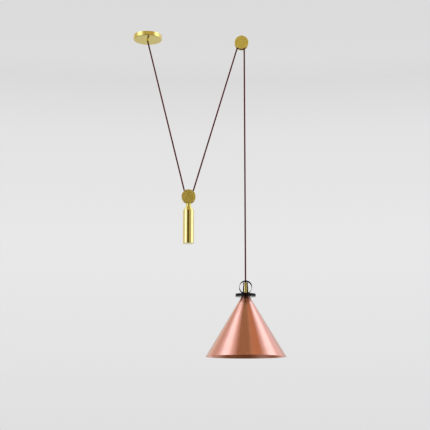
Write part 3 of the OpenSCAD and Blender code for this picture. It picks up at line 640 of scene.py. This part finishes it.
def zinc_steel():
    material, tree, shader = finish_named("steel_zinc_plated", Metallic=1.0)
    place = add(tree, "TexCoord", out="Object")
    crystal = add(tree, "TexVoronoi", {"Vector": place, "Scale": 1 / CRYSTAL}, out="Color")
    cloud = add(tree, "TexNoise", {"Vector": place, "Scale": 1 / ZINC_CLOUD, "Detail": 3})
    spangle = add(tree, "Mix", {0: 0.5, 6: crystal, 7: cloud}, **COLOURS)
    grey = add(tree, "RGBToBW", [spangle])
    wire(
        tree,
        shader,
        Base_Color=shaded(tree, grey, NOISE_SPAN, *map(linear, ZINC_TONES)),
        Roughness=add(tree, "MapRange", [grey, *NOISE_SPAN, *ZINC_ROUGHNESS]),
        Normal=add(tree, "Bump", {"Height": cloud, "Strength": 0.2, "Distance": MARK_DEPTH}),
    )
    return material


def black_steel(name, line):
    made_of = "steel_blackened_" + name
    return turned_metal(made_of, *line, BLACK_OXIDE_TONES, roughness=0.42, grain=0.4)


steel = zinc_steel()
print(steel.name)

# %% [markdown]
# ## Black powder coat and phenolic
# The hoop is steel strip under a matt black powder coat. The powder melts into a skin that is
# dull and even close up and very slightly wavy from further off, like orange peel. A matt coat
# takes the gleam off the strip even where it is seen nearly edge on, so the shader's specular
# level is 0: a low one would still shine there. The thick disc above the shade was turned
# from phenolic sheet and polished: a deep black, with a trace of turning rings and a
# paper-like mottle deep in the resin.


# %% Black finishes
ORANGE_PEEL = 1.6 * MM
PEEL_DEPTH = 0.04 * MM
DUST = 40 * MM
COAT_TONES = ("#0B0B0C", "#161617")
COAT_ROUGHNESS = (0.6, 0.7)
PAPER_MOTTLE = 5 * MM
PHENOLIC_TONES = ("#070708", "#141213")
PHENOLIC_ROUGHNESS = (0.1, 0.16)


def powder_coat():
    material, tree, shader = finish_named(
        "powder_coat_matt_black", IOR=1.5, Specular_IOR_Level=0.0
    )
    place = add(tree, "TexCoord", out="Object")
    flow = add(tree, "TexNoise", {"Vector": place, "Scale": 1 / ORANGE_PEEL})
    dust = add(tree, "TexNoise", {"Vector": place, "Scale": 1 / DUST, "Detail": 4})
    wire(
        tree,
        shader,
        Base_Color=shaded(tree, dust, NOISE_SPAN, *map(linear, COAT_TONES)),
        Roughness=add(tree, "MapRange", [dust, *NOISE_SPAN, *COAT_ROUGHNESS]),
        Normal=add(tree, "Bump", {"Height": flow, "Strength": 0.25, "Distance": PEEL_DEPTH}),
    )
    return material


def polished_phenolic():
    material, tree, shader = finish_named(
        "phenolic_turned_polished_black", IOR=1.6, Specular_IOR_Level=0.09
    )
    rings = {"Vector": ring_place(tree, *LAMP_LINE), "Scale": 1 / FINE_RING}
    marks = add(tree, "TexNoise", rings)
    paper = {"Vector": add(tree, "TexCoord", out="Object"), "Scale": 1 / PAPER_MOTTLE}
    mottle = add(tree, "TexNoise", {**paper, "Detail": 5, "Roughness": 0.65})
    wire(
        tree,
        shader,
        Base_Color=shaded(tree, mottle, NOISE_SPAN, *map(linear, PHENOLIC_TONES)),
        Roughness=add(tree, "MapRange", [mottle, *NOISE_SPAN, *PHENOLIC_ROUGHNESS]),
        Normal=add(tree, "Bump", {"Height": marks, "Strength": 0.1, "Distance": MARK_DEPTH}),
    )
    return material


black_coat = powder_coat()
phenolic = polished_phenolic()
print(black_coat.name, phenolic.name)

# %% [markdown]
# ## Moulded plastics
# The lampholder and the grommet are black moulded plastic with the fine even grain of a
# spark-eroded mould. The terminal block and the washers beside the sheaves are natural
# nylon: milky, a little translucent and faintly cloudy. The wires have smooth coloured
# insulation.


# %% Plastic finishes
MOULD_CLOUD = 12 * MM
LIGHT_REACH = 2 * MM
PORE_SMOOTHEST, PORE_ROUGHEST = 0.85, 1.2


def moulded_plastic(name, tones, roughness, pore, pore_depth, glow=0.0):
    """Moulded plastic. glow is how much of the light that enters comes out again nearby."""
    material, tree, shader = finish_named(
        name, IOR=1.52, Subsurface_Weight=glow, Subsurface_Scale=LIGHT_REACH
    )
    place = add(tree, "TexCoord", out="Object")
    pores = add(tree, "TexNoise", {"Vector": place, "Scale": 1 / pore})
    cloud = add(tree, "TexNoise", {"Vector": place, "Scale": 1 / MOULD_CLOUD, "Detail": 3})
    uneven = [roughness * PORE_SMOOTHEST, roughness * PORE_ROUGHEST]
    wire(
        tree,
        shader,
        Base_Color=shaded(tree, cloud, NOISE_SPAN, *map(linear, tones)),
        Roughness=add(tree, "MapRange", [pores, *NOISE_SPAN, *uneven]),
        Normal=add(tree, "Bump", {"Height": pores, "Strength": 0.3, "Distance": pore_depth}),
    )
    return material


holder_plastic = moulded_plastic(
    "phenolic_moulded_black",
    ("#121214", "#1D1C1E"),
    roughness=0.36,
    pore=0.6 * MM,
    pore_depth=0.02 * MM,
)
nylon = moulded_plastic(
    "nylon_natural",
    ("#DDD8CA", "#EBE7DC"),
    roughness=0.42,
    pore=1.2 * MM,
    pore_depth=0.02 * MM,
    glow=0.25,
)
insulation = moulded_plastic(
    "pvc_wire_insulation",
    ("#5E3A26", "#75492F"),
    roughness=0.4,
    pore=0.8 * MM,
    pore_depth=0.01 * MM,
)
print(holder_plastic.name, nylon.name, insulation.name)

# %% [markdown]
# ## Braided cloth
# The flex wears a cotton braid: yarns wind round it both ways and pass over and under each
# other, which leaves small diamonds. The real yarns are about 0.6 mm wide. Twelve each way
# are drawn, 1.5 mm wide, so that the braid shows from near by. Turns round the cord and
# metres along it add up to one family of yarns and subtract to the other. Where the two
# counts share a parity, the first family lies on top. The colour darkens from the yarns'
# crowns down into the gaps between them. That darkening is painted shade, where the yarns
# shade each other, and random fuzz varies it as well.

# %% Cloth finish
YARNS = 12
YARN_STEP = 3.1 * MM
YARN_HEIGHT = 0.4 * MM
FUZZ = 0.5 * MM
FADING = 60 * MM
THREAD_TONES = ("#661A1E", "#742327")
# The dark colour laid into the gaps between yarns is painted shade, not a colour of the yarn.
GAP_PAINTED_SHADE_TONE = "#240A0C"
LIT_SPAN = (0.1, 0.9)
FUZZ_SHADES = (0.6, 1.1)
GAP_TO_YARN_ROUGHNESS = (0.95, 0.75)


def braided_cloth():
    material, tree, shader = finish_named(
        "cotton_braid_maroon",
        IOR=1.45,
        Specular_IOR_Level=0.05,
        Sheen_Weight=0.02,
        Sheen_Roughness=0.4,
    )
    chart = add(tree, "UVMap", uv_map="turns_and_metres")
    turned, along, _ = add(tree, "SeparateXYZ", [chart]).node.outputs
    turns = add(tree, "Math", [turned, float(YARNS)], operation="MULTIPLY")
    steps = add(tree, "Math", [along, YARN_STEP], operation="DIVIDE")
    yarns, counted = [], []
    for handed in ("ADD", "SUBTRACT"):
        count = add(tree, "Math", [turns, steps], operation=handed)
        half_wave = add(tree, "Math", [count, math.pi], operation="MULTIPLY")
        wave = add(tree, "Math", [half_wave], operation="SINE")
        yarns.append(add(tree, "Math", [wave], operation="ABSOLUTE"))
        counted.append(add(tree, "Math", [count], operation="FLOOR"))
    both = add(tree, "Math", counted, operation="ADD")
    parity = add(tree, "Math", [both, 2.0], operation="FLOORED_MODULO")
    height = add(tree, "Mix", {0: parity, 2: yarns[0], 3: yarns[1]}, data_type="FLOAT")
    place = add(tree, "TexCoord", out="Object")
    fuzz = add(tree, "TexNoise", {"Vector": place, "Scale": 1 / FUZZ, "Detail": 3})
    faded = add(tree, "TexNoise", {"Vector": place, "Scale": 1 / FADING, "Detail": 3})
    fuzzy = add(tree, "MapRange", [fuzz, *NOISE_SPAN, *FUZZ_SHADES])
    # lit is the yarn height, varied by fuzz. Where it is low, in the gaps, the colour turns to the
    # painted shade.
    lit = add(tree, "Math", [height, fuzzy], operation="MULTIPLY")
    thread = shaded(tree, faded, NOISE_SPAN, *map(linear, THREAD_TONES))
    wire(
        tree,
        shader,
        Base_Color=shaded(tree, lit, LIT_SPAN, linear(GAP_PAINTED_SHADE_TONE), thread),
        Roughness=add(tree, "MapRange", [lit, *NOISE_SPAN, *GAP_TO_YARN_ROUGHNESS]),
        Normal=add(tree, "Bump", {"Height": lit, "Strength": 0.8, "Distance": YARN_HEIGHT}),
    )
    return material


cloth = braided_cloth()
for tube in cords:
    tube.data.materials.append(cloth)
print(cloth.name)

# %% [markdown]
# ## Turned pieces, made again more finely
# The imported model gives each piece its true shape, but with sharp corners and few facets.
# Where a corner catches the light, the piece is turned again here: its cross-section is
# listed as corners with a rounding each, and revolved round the axis. The new piece stands
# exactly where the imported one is.


# %% Rounded outlines and a lathe
def rounded(corners, steps=6):
    """A closed outline. Each corner is (radius, height, rounding), and a rounding of 0 stays sharp."""
    line = []
    for i, (r, z, radius) in enumerate(corners):
        here = Vector((r, z))
        if not radius:
            line.append(here)
            continue
        back = (Vector(corners[i - 1][:2]) - here).normalized()
        ahead = (Vector(corners[(i + 1) % len(corners)][:2]) - here).normalized()
        half = back.angle(ahead) / 2
        middle_of = here + (back + ahead).normalized() * (radius / math.sin(half))
        first = here + back * (radius / math.tan(half)) - middle_of
        sweep = first.angle_signed(here + ahead * (radius / math.tan(half)) - middle_of)
        for k in range(steps + 1):
            turn = -sweep * k / steps
            cos, sin = math.cos(turn), math.sin(turn)
            spoke = Vector((first.x * cos - first.y * sin, first.x * sin + first.y * cos))
            line.append(middle_of + spoke)
    return line


def turn_on_lathe(name, line, outline, segments=128, sharp=30):
    """Revolves a closed outline of (radius, distance along the axis) round an axis."""
    centre, axis = line
    aside = Vector((1, 0, 0))
    third = axis.cross(aside)
    build = bmesh.new()
    rings = []
    for r, along in outline:
        ring = []
        for k in range(segments):
            turn = math.tau * (k + 0.5) / segments
            spoke = aside * math.cos(turn) + third * math.sin(turn)
            ring.append(build.verts.new(centre + spoke * r + axis * along))
        rings.append(ring)
    for ring, following in zip(rings, rings[1:] + rings[:1]):
        for k in range(segments):
            after = (k + 1) % segments
            build.faces.new((ring[k], ring[after], following[after], following[k])).smooth = True
    bmesh.ops.recalc_face_normals(build, faces=build.faces)
    for edge in build.edges:
        edge.smooth = edge.calc_face_angle(0) < math.radians(sharp)
    mesh = bpy.data.meshes.new(name)
    build.to_mesh(mesh)
    build.free()
    return link(name, mesh)


def instead_of(piece, node, body, material):
    """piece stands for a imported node, rides on its body and wears a material."""
    piece.data.materials.append(material)
    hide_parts(node)
    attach(piece, body)


print("lathe ready")

# %% [markdown]
# ## The shade
# A thin copper cone with a flat roof under the black disc, and a bead rolled outwards round
# the rim to stiffen it. The sheet is 0.8 mm thick, so the outline has an outside, a round
# bead and an inside.

# %% Spin the shade
SHEET = 0.8 * MM
ROOF_R = 17.5 * MM
BEAD_R = 1.2 * MM
BEAD_STEPS = 24
ROOF_ROUNDING = 2 * MM
THREAD_CLEARANCE = 0.2 * MM
THREAD_HOLE_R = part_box("lamp_nipple")[1].x - LAMP_X + THREAD_CLEARANCE

shade_low, shade_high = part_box("shade_cone")
bead_at = Vector((shade_high.x - LAMP_X - BEAD_R, shade_low.z + BEAD_R))
slant = (Vector((ROOF_R, shade_high.z)) - bead_at).normalized()
inward = Vector((-slant.y, slant.x))
half_chord = math.sqrt(BEAD_R**2 - SHEET**2)
bead_first = math.atan2(slant.y, slant.x)
inner_foot = inward * SHEET - slant * half_chord
bead_last = math.atan2(inner_foot.y, inner_foot.x)
bead = []
for k in range(BEAD_STEPS + 1):
    turn = bead_first + (bead_last - bead_first) * k / BEAD_STEPS
    bead.append(bead_at + Vector((math.cos(turn), math.sin(turn))) * BEAD_R)
roof_z = shade_high.z - SHEET
inner_roof_r = ROOF_R + SHEET * (math.tan(math.atan2(-slant.x, slant.y)) - 1 / slant.y)
roof = rounded(
    [
        (*(bead[-1]), 0),
        (inner_roof_r, roof_z, ROOF_ROUNDING - SHEET),
        (THREAD_HOLE_R, roof_z, 0),
        (THREAD_HOLE_R, shade_high.z, 0),
        (ROOF_R, shade_high.z, ROOF_ROUNDING),
        (*(bead[0]), 0),
    ]
)
shade = turn_on_lathe("shade", LAMP_LINE, roof[1:-1] + bead, segments=192)
instead_of(shade, "shade_cone", "lamp", copper)
print("shade:", len(shade.data.vertices), "points")

# %% [markdown]
# ## The black disc
# A thick turned disc with softly rounded edges, which show as two thin lines of light.

# %% Turn the disc
EDGE_ROUNDING = 1.2 * MM
disc_low, disc_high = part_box("cap_disc")
disc_r = disc_high.x - LAMP_X
cap_disc = turn_on_lathe(
    "top_disc",
    LAMP_LINE,
    rounded(
        [
            (THREAD_HOLE_R, disc_low.z, 0),
            (disc_r, disc_low.z, EDGE_ROUNDING),
            (disc_r, disc_high.z, EDGE_ROUNDING),
            (THREAD_HOLE_R, disc_high.z, 0),
        ]
    ),
    segments=144,
)
instead_of(cap_disc, "cap_disc", "lamp", phenolic)
print("disc:", round(2 * disc_r / MM, 1), "mm across")

# %% [markdown]
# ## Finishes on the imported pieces
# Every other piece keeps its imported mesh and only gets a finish. The rings of a turned finish
# follow the piece's own axis: upright for the canopy, the weight and the lamp, and from front
# to back for the discs, bushes and sheaves of the pulleys. The hanger and the small set
# screws borrow the lamp's line, because their marks hardly show.

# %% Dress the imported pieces
FINISHES = [
    (satin_brass("canopy", CANOPY_AXIS, roughness=0.19), ["canopy_cup", "canopy_outlet"]),
    (satin_brass("ceiling_pulley", CEILING_PULLEY), ["ceiling_front_disc", "ceiling_back_disc"]),
    (satin_brass("hanger", LAMP_LINE), ["ceiling_hanger"]),
    (satin_brass("weight_pulley", WEIGHT_PULLEY), ["weight_front_disc", "weight_back_disc"]),
    (satin_brass("weight_neck", WEIGHT_LINE, roughness=0.3), ["weight_neck"]),
    (polished_brass("weight", WEIGHT_LINE), ["weight_sleeve", "weight_end_cap"]),
    (polished_brass("stem", LAMP_LINE, roughness=0.24), ["stem_cap", "stem_body"]),
    (bare_brass("ceiling_bush", CEILING_PULLEY), ["ceiling_bush"]),
    (bare_brass("weight_bush", WEIGHT_PULLEY), ["weight_bush"]),
    (bare_brass("weight_core", WEIGHT_LINE), ["weight_core"]),
    (bare_brass("canopy", CANOPY_AXIS), ["terminal_screws", "earth_screw"]),
    (bare_brass("lamp", LAMP_LINE), ["screw_shell", "centre_contact", "shade_locknut"]),
    (black_steel("ceiling_sheave", CEILING_PULLEY), ["ceiling_sheave"]),
    (black_steel("weight_sheave", WEIGHT_PULLEY), ["weight_sheave"]),
    (black_steel("screws", LAMP_LINE), ["outlet_set_screw", "stem_set_screw"]),
    (
        steel,
        [
            "canopy_strap",
            "ceiling_disc_screws",
            "weight_disc_screws",
            "ceiling_axle",
            "weight_axle",
            "block_screws",
            "weight_tie_stud",
            "lamp_nipple",
            "shade_washer",
        ],
    ),
    (black_coat, ["hoop_band", "hoop_saddle"]),
    (holder_plastic, ["holder_cap", "holder_shell", "hoop_grommet", "cord_grip"]),
    (nylon, ["terminal_block", "ceiling_washers", "weight_washers"]),
    (insulation, ["canopy_wires", "holder_wires"]),
]
dressed = set()
for material, nodes in FINISHES:
    for node in nodes:
        for material_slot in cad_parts[node].material_slots:
            material_slot.material = material
        dressed.add(node)
shown_nodes = {name for name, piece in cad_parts.items() if not piece.hide_render}
print("dressed:", len(dressed), "left:", sorted(shown_nodes - dressed))

# %% [markdown]
# ## Measure and finish
# The dressed object has to stay in the imported model's box, so the script prints how far the dressed
# box reaches past it on each side.

# %% Compare the boxes and close
bpy.context.scene.view_settings.view_transform = "Standard"
dressed_low, dressed_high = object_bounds()
outside = (*(cad_low - dressed_low), *(dressed_high - cad_high))
print("outside the box, mm:", [round(v / MM, 2) for v in outside])
